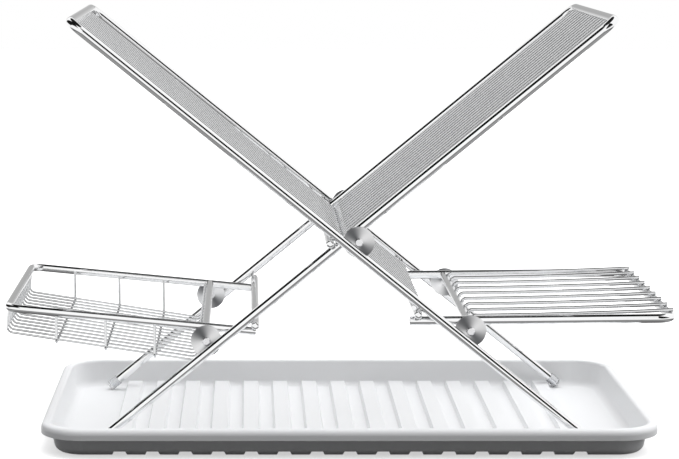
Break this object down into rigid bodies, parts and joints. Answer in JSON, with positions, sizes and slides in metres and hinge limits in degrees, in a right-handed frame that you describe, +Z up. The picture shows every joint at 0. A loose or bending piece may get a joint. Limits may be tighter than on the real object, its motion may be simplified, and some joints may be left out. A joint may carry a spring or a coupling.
{
  "type": "folding dish drying rack",
  "caption": "Three-tier folding dish rack: two crossed bent-tube frames with wire panels, a hinged wire shelf, a hinged wire basket and a ribbed drip tray.",
  "frame": {"origin": "on the surface that the tray stands on, under the middle of the full length and depth", "axes": "+X along the rack towards the right shelf, +Y to the back, +Z up"},
  "size_m": [0.6512, 0.34, 0.422],
  "materials": {
    "tube_chrome": "polished chrome plate on bent steel tube and rod",
    "wire_chrome": "polished chrome plate on steel wire",
    "hinge_plate_steel": "turned, with fine rings about the rivet",
    "rivet_steel": "satin",
    "tray_plastic": "white, soft gloss",
    "cap_plastic": "pale grey, glossy"
  },
  "bodies": {
    "tray": {"drip_tray": "tray_plastic"},
    "main_pins": {"main_rivet_front": "rivet_steel", "main_rivet_rear": "rivet_steel"},
    "outer_frame": {"outer_frame_tube": "tube_chrome", "outer_plate_wires": "wire_chrome", "outer_cross_bar": "tube_chrome", "outer_foot_cap_front": "cap_plastic", "outer_foot_cap_rear": "cap_plastic", "outer_main_hinge_plate_front": "hinge_plate_steel", "outer_main_hinge_plate_rear": "hinge_plate_steel", "outer_shelf_hinge_plate_front": "hinge_plate_steel", "outer_shelf_hinge_plate_rear": "hinge_plate_steel", "shelf_rivet_front": "rivet_steel", "shelf_rivet_rear": "rivet_steel"},
    "inner_frame": {"inner_frame_tube": "tube_chrome", "inner_plate_wires": "wire_chrome", "inner_cross_bar": "tube_chrome", "frame_stop_bar": "tube_chrome", "inner_foot_cap_front": "cap_plastic", "inner_foot_cap_rear": "cap_plastic", "inner_main_hinge_plate_front": "hinge_plate_steel", "inner_main_hinge_plate_rear": "hinge_plate_steel", "inner_basket_hinge_plate_front": "hinge_plate_steel", "inner_basket_hinge_plate_rear": "hinge_plate_steel", "basket_rivet_front": "rivet_steel", "basket_rivet_rear": "rivet_steel"},
    "right_shelf": {"shelf_rail": "tube_chrome", "shelf_hinge_bar": "tube_chrome", "shelf_wires": "wire_chrome", "shelf_stop_bar": "tube_chrome", "shelf_hinge_plate_front": "hinge_plate_steel", "shelf_hinge_plate_rear": "hinge_plate_steel"},
    "left_basket": {"basket_rail": "tube_chrome", "basket_hinge_bar": "tube_chrome", "basket_floor_wires": "wire_chrome", "basket_band_wires": "wire_chrome", "basket_stop_bar": "tube_chrome", "basket_hinge_plate_front": "hinge_plate_steel", "basket_hinge_plate_rear": "hinge_plate_steel"}
  },
  "joints": [
    {"name": "frame_fold", "type": "hinge", "parent": "main_pins", "child": "outer_frame", "pos_m": [0.01708, 0, 0.2061], "axis": [0, 1, 0], "range_deg": [0, 36]},
    {"name": "inner_frame_fold", "type": "hinge", "parent": "main_pins", "child": "inner_frame", "pos_m": [0.01708, 0, 0.2061], "axis": [0, -1, 0], "range_deg": [0, 36]},
    {"name": "rack_lift", "type": "slide", "parent": "tray", "child": "main_pins", "axis": [0, 0, 1], "range_m": [0, 0.2514]},
    {"name": "right_shelf_fold", "type": "hinge", "parent": "outer_frame", "child": "right_shelf", "pos_m": [0.12519, 0, 0.11984], "axis": [0, -1, 0], "range_deg": [0, 75]},
    {"name": "left_basket_fold", "type": "hinge", "parent": "inner_frame", "child": "left_basket", "pos_m": [-0.12921, 0, 0.10792], "axis": [0, 1, 0], "range_deg": [0, 75]}
  ],
  "couplings": [
    {"joint": "inner_frame_fold", "follows": "frame_fold", "ratio": 1},
    {"joint": "rack_lift", "follows": "frame_fold", "m_per_rad": 0.4}
  ]
}
